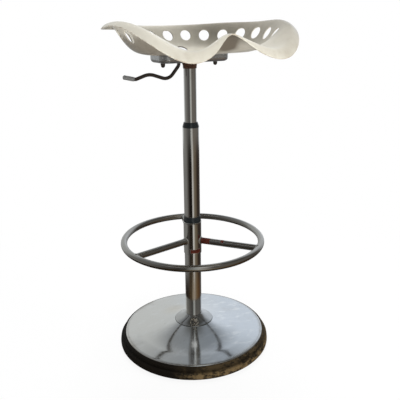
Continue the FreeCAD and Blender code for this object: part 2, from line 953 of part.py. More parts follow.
def pan_ring(level, depth):
    """Closed curve at one level, on the top face or below it by the sheet's thickness."""
    points = []
    for i in range(pan_ring_points):
        angle = 2 * math.pi * i / pan_ring_points
        point = pan_point(angle, level)
        if depth > 0:
            point = point - (up if level == 0 else pan_normal(angle, level)) * depth
        points.append(point)
    angles = [2 * math.pi * i / pan_ring_points for i in range(pan_ring_points + 1)]
    curve = Part.BSplineCurve()
    curve.interpolate(Points=points, PeriodicFlag=True, Parameters=angles)
    return Part.Wire(curve.toShape())


def pan_levels():
    wall = [i / pan_wall_rings for i in range(pan_wall_rings + 1)]
    lip = [1 + (i + 1) / pan_lip_rings for i in range(pan_lip_rings)]
    return wall + lip


def pan_blank():
    """The pressed sheet before its holes are punched."""
    top = [pan_ring(level, 0) for level in pan_levels()]
    under = [pan_ring(level, pan_sheet) for level in pan_levels()]
    faces = []
    for rings in (top, under):
        faces += Part.makeLoft(rings, False, False, False).Faces
        faces.append(Part.Face(rings[0]))
    faces += Part.makeLoft([top[-1], under[-1]], False, True, False).Faces
    shell = Part.Shell(faces)
    shell.sewShape()
    solid = Part.Solid(shell)
    if solid.Volume < 0:
        solid.reverse()
    return solid


def loop_angles(level):
    """Angles of equal steps of one hole pitch along the loop at this level, from the middle of the back."""
    count = 720
    angles = [math.pi - math.pi * i / count for i in range(count + 1)]
    travelled = [0.0]
    for a, b in zip(angles, angles[1:]):
        travelled.append(travelled[-1] + (pan_point(b, level) - pan_point(a, level)).Length)
    return angles, travelled


def angle_at(step, loop):
    angles, travelled = loop
    distance = step * hole_pitch
    i = max(k for k, t in enumerate(travelled) if t <= distance)
    share = (distance - travelled[i]) / (travelled[i + 1] - travelled[i])
    return angles[i] + share * (angles[i + 1] - angles[i])


def oval_punch(angle, level):
    """Oval prism square to the pan, its long axis up the wall."""
    point = pan_point(angle, level)
    normal = pan_normal(angle, level)
    side = (pan_point(angle + 1e-3, level) - pan_point(angle - 1e-3, level)).normalize()
    up_wall = normal.cross(side)
    turn = FreeCAD.Rotation(up_wall, side * -1, normal, "ZXY")
    oval = Part.Ellipse(origin, hole_length / 2, hole_width / 2).toShape()
    depth = 10.0
    punch = Part.Face(Part.Wire(oval)).extrude(Vector(0, 0, 2 * depth))
    punch.Placement = FreeCAD.Placement(point - normal * depth, turn)
    return punch


def hole_places():
    """Angle and level of every oval: the row round back and sides, and the few beside the floor."""
    loop = loop_angles(hole_level)
    places = []
    for k in range(hole_row_half + 1):
        places.append((angle_at(k, loop), hole_level))
    for step, level in floor_holes:
        places.append((angle_at(step, loop), level))
    mirrored = [(2 * math.pi - a, level) for a, level in places[1:]]
    return places + mirrored


def seat_pan():
    pan = pan_blank()
    punches = [oval_punch(angle, level) for angle, level in hole_places()]
    pan = pan.cut(Part.makeCompound(punches))
    return pan.cut(bolt_holes(seat_bolt_d / 2 + bolt_play, pan_under_z - 1, pan_floor_z + 1))


save("base_ring", base_ring())
save("base_weight", base_weight())
save("base_cover", base_cover())
save("column_cover", column_cover())
save("column_flange", column_flange())
save("flange_bolts", *flange_bolts())
save("outer_column", outer_column())
save("guide_bush", guide_bush())
save("footrest_sleeve", footrest_sleeve())
save("footrest_liner", footrest_liner())
save("footrest_screws", *footrest_screws())
save("footrest_spokes", *footrest_spokes())
save("footrest_ring", foot_torus())
save("lower_race", bearing_race(column_z))
save("upper_race", upper_race())
save("bearing_cage", bearing_cage())
save("bearing_rollers", *roller_ring(0.0))
save("piston_rod", piston_rod())
save("rod_bumper", rod_bumper())
save("rod_clip", rod_clip())
save("rod_washer", rod_washer())
save("piston", piston())
save("piston_ring", piston_ring())
save("gas_cylinder", gas_cylinder())
save("pressure_tube", pressure_tube())
save("rod_guide", rod_guide())
save("rod_seal", rod_seal())
save("valve_body", valve_body())
save("release_pin", release_pin())
save("cone_socket", cone_socket())
save("seat_bracket", seat_bracket())
save("bracket_gasket", bracket_gasket())
save("bracket_spacers", *bracket_spacers())
save("pivot_ears", *pivot_ears())
save("pivot_pin", pivot_pin())
save("pivot_rings", *pivot_rings())
save("release_lever", release_lever())
save("lever_grip", lever_grip())
save("seat_bolts", *seat_bolts())
save("seat_washers", *seat_washers())
save("dome_nuts", *dome_nuts())
save("seat_pan", seat_pan())
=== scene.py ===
import bpy
import json
import math
import numpy as np
from mathutils import Matrix, Vector


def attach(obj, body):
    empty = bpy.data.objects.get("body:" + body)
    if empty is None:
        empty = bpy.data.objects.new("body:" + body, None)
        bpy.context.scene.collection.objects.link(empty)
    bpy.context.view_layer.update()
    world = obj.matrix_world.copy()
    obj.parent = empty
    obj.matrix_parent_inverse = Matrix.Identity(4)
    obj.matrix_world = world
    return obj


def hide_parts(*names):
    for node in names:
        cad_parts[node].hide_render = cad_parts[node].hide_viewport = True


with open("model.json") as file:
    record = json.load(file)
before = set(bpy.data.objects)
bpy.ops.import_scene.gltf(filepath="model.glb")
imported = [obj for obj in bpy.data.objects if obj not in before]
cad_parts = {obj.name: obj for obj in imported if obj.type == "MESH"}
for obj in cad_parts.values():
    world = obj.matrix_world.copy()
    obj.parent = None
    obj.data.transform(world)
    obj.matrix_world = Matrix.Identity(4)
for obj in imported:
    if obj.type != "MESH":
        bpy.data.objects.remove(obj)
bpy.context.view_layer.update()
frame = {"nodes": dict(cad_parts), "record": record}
print("frame loaded")


class Sock:
    # one shader socket that takes part in sums, with numbers or other sockets on either side
    def __init__(self, maker, socket):
        self.maker = maker
        self.socket = socket

    # a Math node of the given values, with this socket among them
    def math(self, operation, *values):
        return self.maker.make("ShaderNodeMath", {"operation": operation}, dict(enumerate(values)))

    def __add__(self, other):
        return self.math("ADD", self, other)

    def __radd__(self, other):
        return self.math("ADD", other, self)

    def __sub__(self, other):
        return self.math("SUBTRACT", self, other)

    def __rsub__(self, other):
        return self.math("SUBTRACT", other, self)

    def __mul__(self, other):
        return self.math("MULTIPLY", self, other)

    def __rmul__(self, other):
        return self.math("MULTIPLY", other, self)

    def __truediv__(self, other):
        return self.math("DIVIDE", self, other)

    def __rtruediv__(self, other):
        return self.math("DIVIDE", other, self)

    def __pow__(self, other):
        return self.math("POWER", self, other)

    def __rpow__(self, other):
        return self.math("POWER", other, self)

    def __abs__(self):
        return self.math("ABSOLUTE", self)

    def larger(self, other):
        return self.math("MAXIMUM", self, other)

    # held between 0 and 1
    def clip(self):
        return self.math("MINIMUM", self.larger(0.0), 1.0)

    # 0 below low, 1 above high, smooth between
    def step(self, low, high):
        sockets = {"Value": self, "From Min": low, "From Max": high}
        return self.maker.make("ShaderNodeMapRange", {"interpolation_type": "SMOOTHSTEP"}, sockets)


class Shading:
    # the node tree of a material or of the world under construction
    def __init__(self, tree):
        self.tree = tree

    # any node: its settings first, then the values or links of its sockets, by name or by number
    def make(self, kind, settings=None, sockets=None, out=0):
        node = self.tree.nodes.new(kind)
        for name, value in (settings or {}).items():
            if name == "stops":
                self.fillRamp(node.color_ramp.elements, value)
            else:
                setattr(node, name, value)
        for name, value in (sockets or {}).items():
            self.feed(node.inputs[name], value)
        if isinstance(out, tuple):
            return [Sock(self, node.outputs[name]) for name in out]
        return Sock(self, node.outputs[out])

    def fillRamp(self, ramp, rows):
        while len(ramp) < len(rows):
            ramp.new(0.5)
        for stop, (at, colour) in zip(ramp, rows):
            stop.position = at
            stop.color = (*colour, 1.0)

    # a link where the value is a socket, else a plain value; a colour gets its alpha
    def feed(self, slot, value):
        if isinstance(value, Sock):
            self.tree.links.new(value.socket, slot)
        elif slot.type == "RGBA":
            slot.default_value = (*value, 1.0)
        else:
            slot.default_value = value

    def mix(self, share, first, second):
        return self.make("ShaderNodeMix", {"data_type": "RGBA"}, {0: share, 6: first, 7: second}, out=2)


class Finish(Shading):
    # a material under construction, with its patterns on the piece's own coordinates in metres
    def __init__(self, name):
        self.material = bpy.data.materials.new(name)
        self.material.use_nodes = True
        super().__init__(self.material.node_tree)
        self.place = self.make("ShaderNodeTexCoord", out="Object")

    def split(self):
        return self.make("ShaderNodeSeparateXYZ", sockets={0: self.place}, out=(0, 1, 2))

    def attribute(self, name):
        return self.make("ShaderNodeAttribute", {"attribute_name": name}, out="Fac")

    def noise(self, scale, detail, roughness, at=None, stretch=None):
        point = at or self.place
        if stretch:
            point = self.make("ShaderNodeMapping", sockets={"Vector": point, "Scale": stretch})
        sockets = {"Vector": point, "Scale": scale, "Detail": detail, "Roughness": roughness}
        return self.make("ShaderNodeTexNoise", sockets=sockets, out="Fac")

    # lays a stain, given as its tone and share, over a colour where the mask is 1
    def mark(self, colour, mask, stain):
        tone, share = stain
        return self.mix(mask * share, colour, tone)

    def bump(self, height, strength, distance):
        sockets = {"Height": height, "Strength": strength, "Distance": distance}
        return self.make("ShaderNodeBump", sockets=sockets, out="Normal")

    # the values or links of the material's own shader
    def set(self, sockets):
        for name, value in sockets.items():
            self.feed(self.tree.nodes["Principled BSDF"].inputs[name], value)
        return self.material

    # another shader in place of the material's own
    def show(self, shader):
        self.feed(self.tree.nodes["Material Output"].inputs["Surface"], shader)
        return self.material


# level way to the side of the stool that shows at the photograph's right, as (x, y)
rightSide = (0.875, -0.483)

# the seat's enamel: a mark is its tone and its share, and heights are in metres
enamel = {
    "coat": ((0.62, 0.59, 0.505), (0.68, 0.65, 0.56)),
    "runs": ((0.50, 0.45, 0.36), 0.30),
    "lowRuns": ((0.40, 0.34, 0.25), 0.25),
    "lowHeight": (0.752, 0.772),
    "specks": ((0.42, 0.34, 0.24), 0.35),
    "chips": ((0.33, 0.25, 0.16), 0.55),
    # the tone of the painted shade on the under face and inside the walls
    "grime": (0.165, 0.140, 0.108),
    "roughness": 0.32,
    "coatWeight": 0.35,
    "coatRoughness": 0.12,
}


def seatEnamel(e):
    # cloudy coat with runs, specks and chips near the free edges, darkened by painted shade, over a slight
    # orange-peel bump
    f = Finish("seatEnamel")
    x, y, z = f.split()
    cloud = f.noise(9.0, 4.0, 0.55)
    speck = f.noise(170.0, 3.0, 0.6)
    run = f.noise(34.0, 5.0, 0.6, stretch=(1.0, 1.0, 0.22))
    peel = f.noise(420.0, 2.0, 0.5)
    chip = (f.attribute("edgeNear") * 0.8 + f.noise(120.0, 4.0, 0.65) * 0.6).step(0.98, 1.08)
    low = 1.0 - z.step(*e["lowHeight"])
    tone = f.mix(cloud.step(0.35, 0.7), *e["coat"])
    tone = f.mark(tone, run.step(0.55, 0.75), e["runs"])
    tone = f.mark(tone, low * run.step(0.35, 0.65), e["lowRuns"])
    tone = f.mark(tone, speck.step(0.67, 0.74), e["specks"])
    tone = f.mark(tone, chip, e["chips"])
    # painted shade, read from the mesh and broken up by the runs
    tone = f.mix(f.attribute("grime") * (0.55 + run * 0.5), tone, e["grime"])
    return f.set({
        "Base Color": tone,
        "Roughness": e["roughness"] + cloud * 0.14 + chip * 0.2,
        "Coat Weight": e["coatWeight"],
        "Coat Roughness": e["coatRoughness"],
        "Normal": f.bump(peel - chip * 0.6, 0.10, 0.0006),
    })


# chrome plate; the blur and the raggedness of a rust patch's edge are in metres
chrome = {
    "tone": (0.62, 0.61, 0.59),
    "stain": ((0.30, 0.25, 0.20), 0.5),
    "pits": ((0.16, 0.09, 0.05), 0.7),
    "rust": ((0.050, 0.009, 0.005), (0.095, 0.018, 0.009)),
    "rustBlur": 0.0006,
    "rustRagged": 0.005,
    "roughness": 0.06,
}


def tubeChrome(name, c, patches=()):
    # cloudy plate with fine upright streaks and pits, and rust patches where some are given
    f = Finish(name)
    cloud = f.noise(14.0, 5.0, 0.6, stretch=(1.0, 1.0, 0.35))
    pits = f.noise(260.0, 2.0, 0.5)
    streak = f.noise(90.0, 2.0, 0.5, stretch=(1.0, 1.0, 0.05))
    colour = f.mark(c["tone"], cloud.step(0.50, 0.80), c["stain"])
    colour = f.mark(colour, pits.step(0.70, 0.76), c["pits"])
    rough = c["roughness"] + cloud * 0.08 + streak.step(0.55, 0.7) * 0.06
    metal = 1.0
    if patches:
        ragged = f.noise(85.0, 2.0, 0.5)
        rust = sum((rustPatch(f, c, ragged, *patch) for patch in patches), 0.0).clip()
        colour = f.mix(rust, colour, f.mix(ragged.step(0.3, 0.7), *c["rust"]))
        rough = rough + rust * 0.35
        metal = 1.0 - rust * 0.7
    normal = f.bump(streak, 0.03, 0.0003)
    return f.set({"Base Color": colour, "Metallic": metal, "Roughness": rough, "Normal": normal})


def rustPatch(f, c, ragged, bearing, reach, height, half):
    # 1 within a span of reach from the upright axis, a span of height and a half width to each side, on one
    # bearing round that axis, with every edge moved by ragged noise; metres and degrees
    x, y, z = f.split()
    east, north = math.cos(math.radians(bearing)), math.sin(math.radians(bearing))
    shift = (ragged - 0.5) * c["rustRagged"]

    def beyond(measure, edge):
        return (measure + shift).step(edge - c["rustBlur"], edge + c["rustBlur"])

    def within(measure, span):
        return beyond(measure, span[0]) * (1.0 - beyond(measure, span[1]))

    aside = 1.0 - beyond(abs(y * east - x * north), half)
    return within(x * east + y * north, reach) * within(z, height) * aside


# the polished sheet of dish and cone; places and radii are in metres
dishPolish = {
    # left and right tones: the bluish tone at the right side is a painted reflection of a pale sky
    "left": (0.69, 0.68, 0.655),
    "right": (0.63, 0.67, 0.715),
    "sides": (-0.12, 0.12),
    "smear": (0.84, 0.86, 0.87),
    "clouds": ((0.50, 0.49, 0.47), 0.4),
    "tan": ((0.62, 0.55, 0.44), 0.4),
    "tanPlace": (-0.012, 0.08),
    "tanReach": (0.02, 0.06),
    "rim": ((0.30, 0.25, 0.19), 0.45),
    "rimReach": (0.170, 0.1835),
    "pits": ((0.20, 0.17, 0.15), 0.6),
    # painted dark lines on the dish: a painted shadow at the cone's foot and a painted dark reflection at the
    # rim's bend
    "paintedLineTone": (0.03, 0.03, 0.03),
    "seams": ((0.0500, 0.0009, 1.0), (0.1782, 0.0007, 0.45)),  # radius, half width and share
    "cone": ((0.12, 0.11, 0.10), 0.38),
    "coneReach": (0.0485, 0.0495),
    "spinLines": 1400.0,
    "roughness": 0.085,
}


def dishMetal(d):
    # smears and stains over spun lines, which are noise along the radius alone, with a painted bluish
    # reflection on the right side, and painted dark lines at the cone's foot and the rim's bend
    f = Finish("dishMetal")
    x, y, z = f.split()
    cloud = f.noise(16.0, 6.0, 0.62)
    smear = f.noise(24.0, 8.0, 0.68, stretch=(1.0, 2.4, 1.0))
    pits = f.noise(240.0, 2.0, 0.5)
    radius = (x * x + y * y) ** 0.5
    spun = f.noise(1.0, 3.0, 0.6, at=f.make("ShaderNodeCombineXYZ", sockets={0: radius * d["spinLines"]}))
    # the right side, which takes the painted bluish reflection
    right = (x * rightSide[0] + y * rightSide[1]).step(*d["sides"])
    tanX, tanY = x - d["tanPlace"][0], y - d["tanPlace"][1]
    tan = 1.0 - ((tanX * tanX + tanY * tanY) ** 0.5 + cloud * 0.02).step(*d["tanReach"])
    rim = radius.step(*d["rimReach"]) * cloud.step(0.40, 0.62)
    # painted dark lines: a shadow at the cone's foot and a dark reflection at the rim's bend
    paintedLine = sum(((1.0 - abs(radius - at) / half).clip() * share for at, half, share in d["seams"]), 0.0)
    colour = f.mix(right, d["left"], d["right"])
    colour = f.mix(smear.step(0.50, 0.66) * (0.2 + right * 0.45), colour, d["smear"])
    colour = f.mark(colour, cloud.step(0.55, 0.8), d["clouds"])
    colour = f.mark(colour, tan, d["tan"])
    colour = f.mark(colour, rim, d["rim"])
    colour = f.mark(colour, pits.step(0.72, 0.77), d["pits"])
    colour = f.mix(paintedLine, colour, d["paintedLineTone"])
    colour = f.mark(colour, 1.0 - radius.step(*d["coneReach"]), d["cone"])
    rough = d["roughness"] + cloud.step(0.45, 0.75) * 0.08 + smear.step(0.52, 0.72) * 0.08
    rough = rough + rim * 0.15 + paintedLine * 0.3
    normal = f.bump(spun, 0.05, 0.0002)
    return f.set({"Base Color": colour, "Metallic": 1.0, "Roughness": rough, "Normal": normal})


def plainMetal(name, tone, stain, share, rough):
    # one tone with cloudy stains; a larger share stains more of it
    f = Finish(name)
    cloud = f.noise(26.0, 5.0, 0.6)
    fine = f.noise(180.0, 3.0, 0.6)
    stained = (cloud * 0.7 + fine * 0.3).step(0.60 - share, 0.80 - share)
    return f.set({
        "Base Color": f.mix(stained, tone, stain),
        "Metallic": 0.9,
        "Roughness": rough + cloud * 0.2,
        "Normal": f.bump(fine, 0.06, 0.0003),
    })


def rustSteel(dark, pale):
    # cloudy rust between two tones, rough to the touch
    f = Finish("rustSteel")
    cloud = f.noise(90.0, 6.0, 0.65)
    return f.set({
        "Base Color": f.mix(cloud.step(0.35, 0.7), dark, pale),
        "Metallic": 0.5,
        "Roughness": 0.42,
        "Normal": f.bump(cloud, 0.4, 0.0006),
    })


# the base's rubber: how far the lighter right side reaches and how high the wear is strong, in metres
rubber = {
    "black": ((0.003, 0.0025, 0.002), (0.008, 0.006, 0.004)),
    "rightTone": ((0.016, 0.012, 0.007), 0.7),
    "worn": ((0.14, 0.096, 0.045), 0.8),
    "sides": (-0.06, 0.03),
    "lowHeight": (0.014, 0.021),
    "specular": 0.12,
}


def ringRubber(r):
    # black rubber, lighter at its right, and worn there in patches that thin out above the foot
    f = Finish("ringRubber")
    x, y, z = f.split()
    cloud = f.noise(24.0, 7.0, 0.68, stretch=(1.0, 1.0, 2.2))
    fine = f.noise(150.0, 5.0, 0.65)
    right = (x * rightSide[0] + y * rightSide[1]).step(*r["sides"])
    lower = 1.0 - z.step(*r["lowHeight"])
    worn = (cloud * 0.6 + fine * 0.4 + right * 0.06).step(0.50, 0.60) * right * (0.25 + lower * 0.75)
    colour = f.mix(cloud, *r["black"])
    # lighter at the right side
    colour = f.mark(colour, right, r["rightTone"])
    colour = f.mark(colour, worn, r["worn"])
    return f.set({
        "Base Color": colour,
        "Roughness": 0.45 + fine * 0.35,
        "Specular IOR Level": r["specular"],
        "Normal": f.bump(fine + worn, 0.3, 0.0006),
    })


def plastic(name, tone, rough):
    # one tone with a fine grain that is up to two fifths lighter
    f = Finish(name)
    fine = f.noise(300.0, 3.0, 0.5)
    pale = tuple(c * 1.4 for c in tone)
    return f.set({"Base Color": f.mix(fine, tone, pale), "Roughness": rough + fine * 0.06})


# by material slot of the record; plain metals have tone, stain, stained share and roughness
finishes = {
    "cream_enamel": seatEnamel(enamel),
    "chrome_tube": tubeChrome("tubeChrome", chrome),
    "polished_dish": dishMetal(dishPolish),
    "tarnished_steel": plainMetal("tarnishedSteel", (0.44, 0.44, 0.44), (0.22, 0.18, 0.15), 0.02, 0.16),
    "rusted_steel": rustSteel((0.035, 0.017, 0.011), (0.10, 0.048, 0.028)),
    "browned_steel": plainMetal("brownedSteel", (0.095, 0.08, 0.072), (0.06, 0.035, 0.025), 0.05, 0.24),
    "bright_steel": plainMetal("brightSteel", (0.60, 0.60, 0.60), (0.42, 0.40, 0.36), 0.0, 0.2),
    "zinc_fastener": plainMetal("zincFastener", (0.36, 0.35, 0.33), (0.18, 0.13, 0.10), 0.06, 0.3),
    "cast_weight": plainMetal("castWeight", (0.05, 0.05, 0.05), (0.07, 0.045, 0.03), 0.0, 0.55),
    "black_rubber": ringRubber(rubber),
    "black_plastic": plastic("blackPlastic", (0.006, 0.008, 0.009), 0.08),
    "grey_plastic": plastic("greyPlastic", (0.10, 0.10, 0.098), 0.22),
}

# the foot rest's own chrome: tones, and rust patches by bearing, reach from the axis, height and half width
sleeveChrome = {**chrome, "tone": (0.62, 0.61, 0.58)}
sleeveRust = ((-98.5, (0.012, 0.040), (0.2550, 0.2645), 0.0135),)
spokeChrome = {**chrome, "tone": (0.31, 0.305, 0.29)}
spokeRust = (
    (-50.0, (0.0255, 0.049), (0.268, 0.302), 0.015),
    (-50.0, (0.078, 0.085), (0.281, 0.294), 0.007),
)
dimChrome = {**chrome, "tone": (0.39, 0.38, 0.36), "stain": ((0.20, 0.16, 0.12), 0.5), "roughness": 0.07}
footrestFinishes = {
    "footrest_sleeve": tubeChrome("sleeveChrome", sleeveChrome, sleeveRust),
    "footrest_spokes": tubeChrome("spokeChrome", spokeChrome, spokeRust),
    "footrest_ring": tubeChrome("dimChrome", dimChrome),
}
for part in frame["record"]["subparts"]:
    materials = frame["nodes"][part["node"]].data.materials
    materials.clear()
    materials.append(footrestFinishes.get(part["node"], finishes[part["material_slot"]]))
print("finishes assigned")


def meshPiece(name, points, faces, finish, body):
    # one smooth object at the origin from arrays of points and of corner numbers
    mesh = bpy.data.meshes.new(name)
    mesh.from_pydata(np.asarray(points, float).reshape(-1, 3).tolist(), [], [list(f) for f in faces])
    mesh.polygons.foreach_set("use_smooth", [True] * len(mesh.polygons))
    mesh.materials.append(finish)
    piece = bpy.data.objects.new(name, mesh)
    bpy.context.collection.objects.link(piece)
    if body:
        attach(piece, body)
    return piece


def gridQuads(rows, columns, closeRows=False, closeColumns=False):
    # corner numbers of a rows by columns grid, wrapped where asked: each quad joins a point, the next in its
    # row, the one across from it and the next in its column
    index = np.arange(rows * columns).reshape(rows, columns)
    if closeRows:
        index = np.vstack([index, index[:1]])
    if closeColumns:
        index = np.hstack([index, index[:, :1]])
    return np.stack([index[:-1, :-1], index[:-1, 1:], index[1:, 1:], index[1:, :-1]], axis=-1).reshape(-1, 4)


def revolved(profile, count):
    # the profile of (radius, height) carried round the upright axis: x = r cos a, y = r sin a
    turn = np.linspace(0, 2 * np.pi, count, endpoint=False)[:, None]
    r, z = profile[None, :, 0], profile[None, :, 1]
    return np.stack([r * np.cos(turn), r * np.sin(turn), z + 0 * turn], axis=-1)


def rising(value, start, width):
    # 0 up to the start, then straight up to 1 over the width
    return np.clip((value - start) / width, 0, 1)


# the pressed pan, in millimetres and degrees: stations from the front round to the back, mirrored
seatPan = {
    "angle": (0.0, 15.0, 32.0, 52.0, 74.0, 98.0, 126.0, 153.0, 180.0),
    "crestRadius": (142.0, 158.0, 192.0, 205.0, 200.0, 195.0, 182.0, 173.0, 171.0),
    "crestHeight": (42.0, 27.5, 11.5, 43.5, 67.0, 64.5, 62.0, 58.0, 56.5),
    "lipWidth": (10.0, 19.5, 23.0, 22.0, 17.5, 17.5, 15.5, 14.5, 13.5),
    "lipDrop": (0.0, 17.0, 20.5, 15.5, 9.0, 10.5, 11.0, 12.0, 12.5),
    "wallPower": (1.9, 1.4, 0.9, 1.5, 2.5, 2.4, 2.7, 2.5, 2.4),
    "floorHalf": (84.0, 52.0),  # half width and half depth of the floor's oval
    "forward": 33.0,
    "floorHeight": 751.5,
    "sheet": 2.5,
    "edgeRound": 0.9,
    "edgeWear": 5.0,
    "holePitch": 46.2,
    "holeSize": (31.0, 25.0),
    # level of each hole's centre, by its place round the pan in pitches from the back
    "wallHoles": {place: 0.785 for place in range(-7, 8)},
    "floorHoles": {-6.5: 0.34, -3.5: 0.40, -0.5: 0.43, 0.5: 0.43, 3.5: 0.40, 6.5: 0.34},
    # mesh: columns to a hole, the levels that its cell lies between, and shares of the way to the cell's edge
    "cellColumns": 16,
    "wallBand": (0.635, 0.935),
    "floorBand": (0.20, 0.59),
    "cellRings": (0.0, 0.07, 0.18, 0.36, 0.6, 1.0),
    # rows of the plain strips: floor, foot of the wall, between the bands, below the crest, lip
    "stripRows": (5, 8, 2, 3, 12),
}


def roundCurve(angles, values):
    # periodic cubic through the stations and their mirror images; returns a function of the angle
    a = np.radians(np.concatenate([angles, 360.0 - np.array(angles[-2:0:-1]), [360.0]]))
    v = np.concatenate([values, values[-2:0:-1], values[:1]])
    n = len(a) - 1
    h = np.diff(a)
    slope = np.diff(v) / h
    system = np.zeros((n, n))
    i = np.arange(n)
    system[i, i] = 2 * (h + np.roll(h, 1))
    system[i, (i + 1) % n] = h
    system[i, (i - 1) % n] = np.roll(h, 1)
    bend = np.linalg.solve(system, 6 * (slope - np.roll(slope, 1)))
    bend = np.append(bend, bend[0])

    def value(turn):
        t = np.mod(turn, 2 * np.pi)
        k = np.clip(np.searchsorted(a, t, side="right") - 1, 0, n - 1)
        x, y, w = t - a[k], a[k + 1] - t, h[k]
        cubic = (bend[k] * y ** 3 + bend[k + 1] * x ** 3) / (6 * w)
        return cubic + (v[k] / w - bend[k] * w / 6) * y + (v[k + 1] / w - bend[k + 1] * w / 6) * x

    return value


seatCurves = {key: roundCurve(seatPan["angle"], seatPan[key])
              for key in ("crestRadius", "crestHeight", "lipWidth", "lipDrop", "wallPower")}


def seatSurface(turn, level):
    # level -1 is the middle of the flat floor, 0 its edge, 1 the crest and 2 the free edge; the wall rises
    # as half a cosine of level to the wall's power, and the lip falls from the crest as a parabola
    s = seatPan
    radius, height, lip, drop, power = (curve(turn) for curve in seatCurves.values())
    edge = 1 / np.hypot(np.sin(turn) / s["floorHalf"][0], np.cos(turn) / s["floorHalf"][1])
    wall, out = np.clip(level, 0, 1), np.clip(level - 1, 0, 1)
    r = edge * np.clip(level + 1, 0, 1) + (radius - edge) * wall + lip * out
    z = s["floorHeight"] + height * (1 - np.cos(np.pi * wall ** power)) / 2 - drop * out ** 2
    return np.stack([r * np.sin(turn), -s["forward"] - r * np.cos(turn), z + 0 * r], axis=-1)


def seatColumns(s):
    # angles of the mesh columns: equal steps of arc, so many to a hole pitch, then the front shared evenly
    turn = np.linspace(np.pi, 2 * np.pi, 3001)
    line = seatSurface(turn, np.full_like(turn, s["wallHoles"][0]))
    arc = np.concatenate([[0], np.cumsum(np.linalg.norm(np.diff(line, axis=0), axis=1))]) / s["holePitch"]
    reach = max(s["wallHoles"]) + 0.5
    front = int(round((arc[-1] - reach) * s["cellColumns"]))
    even, shared = np.arange(0, reach, 1 / s["cellColumns"]), np.linspace(reach, arc[-1], front + 1)
    half = np.interp(np.concatenate([even, shared]), arc, turn)
    return np.concatenate([half, 2 * np.pi - half[-2:0:-1] + 2 * np.pi])


def holeRim(turn0, level0, way, size, tries=6, nudge=1e-4):
    # points of the surface whose shadow on the tangent plane at the centre is the oval, found by Newton's
    # method: each try moves by the miss over the slopes, which come from a small nudge of turn and level
    centre = seatSurface(turn0, level0)
    side = seatSurface(turn0 + nudge, level0) - seatSurface(turn0 - nudge, level0)
    side /= np.linalg.norm(side)
    rise = seatSurface(turn0, level0 + nudge) - seatSurface(turn0, level0 - nudge)
    rise -= side * (rise @ side)
    rise /= np.linalg.norm(rise)

    def shadow(turn, level):
        away = seatSurface(turn, level) - centre
        return np.stack([away @ side, away @ rise])

    want = np.stack([size[1] / 2 * np.cos(way), size[0] / 2 * np.sin(way)])
    turn, level = np.full_like(way, turn0), np.full_like(way, level0)
    for _ in range(tries):
        here = shadow(turn, level)
        byTurn = (shadow(turn + nudge, level) - here) / nudge
        byLevel = (shadow(turn, level + nudge) - here) / nudge
        miss = want - here
        det = byTurn[0] * byLevel[1] - byTurn[1] * byLevel[0]
        turn = turn + (miss[0] * byLevel[1] - miss[1] * byLevel[0]) / det
        level = level + (byTurn[0] * miss[1] - byTurn[1] * miss[0]) / det
    return turn, level


def seatSheet(s):
    # top face as blocks: plain strips between levels, and cells with rings from a hole to the cell's edge
    columns = seatColumns(s)
    n, cell = len(columns), s["cellColumns"]
    wide = np.append(columns, columns[0] + 2 * np.pi)
    twice = np.concatenate([columns, columns + 2 * np.pi])
    points, faces, total = [], [], 0

    def add(turn, level, quads):
        nonlocal total
        points.append(seatSurface(turn, level).reshape(-1, 3))
        faces.append(quads + total)
        total += turn.size

    def strip(low, high, rows, first=0, last=n):
        t, l = np.meshgrid(wide[first:last + 1], np.linspace(low, high, rows + 1))
        add(t, l, gridQuads(rows + 1, last - first + 1)[:, ::-1])

    def firstColumn(place):
        return int(round((place % (n / cell)) * cell - cell / 2)) % n

    def band(low, high, holes):
        starts = sorted((firstColumn(place), level) for place, level in holes.items())
        at = max(starts[-1][0] + cell - n, 0)  # the last cell may reach past the end of the ring
        for begin, level in starts:
            if begin > at:
                strip(low, high, cell, at, begin)
            cellPatch(low, high, level, begin)
            at = begin + cell
        if at < n:
            strip(low, high, cell, at, n)

    def cellPatch(low, high, level, begin):
        t = twice[begin:begin + cell + 1]
        l = np.linspace(low, high, cell + 1)
        edgeTurn = np.concatenate([t[:-1], np.full(cell, t[-1]), t[:0:-1], np.full(cell, t[0])])
        edgeLevel = np.concatenate([np.full(cell, low), l[:-1], np.full(cell, high), l[:0:-1]])
        middle = t[cell // 2]
        way = np.arctan2((edgeLevel - (low + high) / 2) / (high - low), (edgeTurn - middle) / (t[-1] - t[0]))
        rimTurn, rimLevel = holeRim(middle, level, way, s["holeSize"])
        share = np.array(s["cellRings"])[:, None]
        gridTurn = rimTurn + (edgeTurn - rimTurn) * share
        gridLevel = rimLevel + (edgeLevel - rimLevel) * share
        add(gridTurn, gridLevel, gridQuads(len(share), 4 * cell, closeColumns=True))

    floor, foot, between, below, lip = s["stripRows"]
    strip(-1.0, 0.0, floor)
    strip(0.0, s["floorBand"][0], foot)
    band(*s["floorBand"], s["floorHoles"])
    strip(s["floorBand"][1], s["wallBand"][0], between)
    band(*s["wallBand"], s["wallHoles"])
    strip(s["wallBand"][1], 1.0, below)
    strip(1.0, 2.0, lip)
    return merged(np.concatenate(points), np.concatenate(faces))


def merged(points, quads, places=500):
    # points that agree when rounded to so many places in a millimetre become one
    spots = np.round(points * places).astype(np.int64)
    first, where = np.unique(spots, axis=0, return_index=True, return_inverse=True)[1:]
    return points[first], where.ravel()[quads]


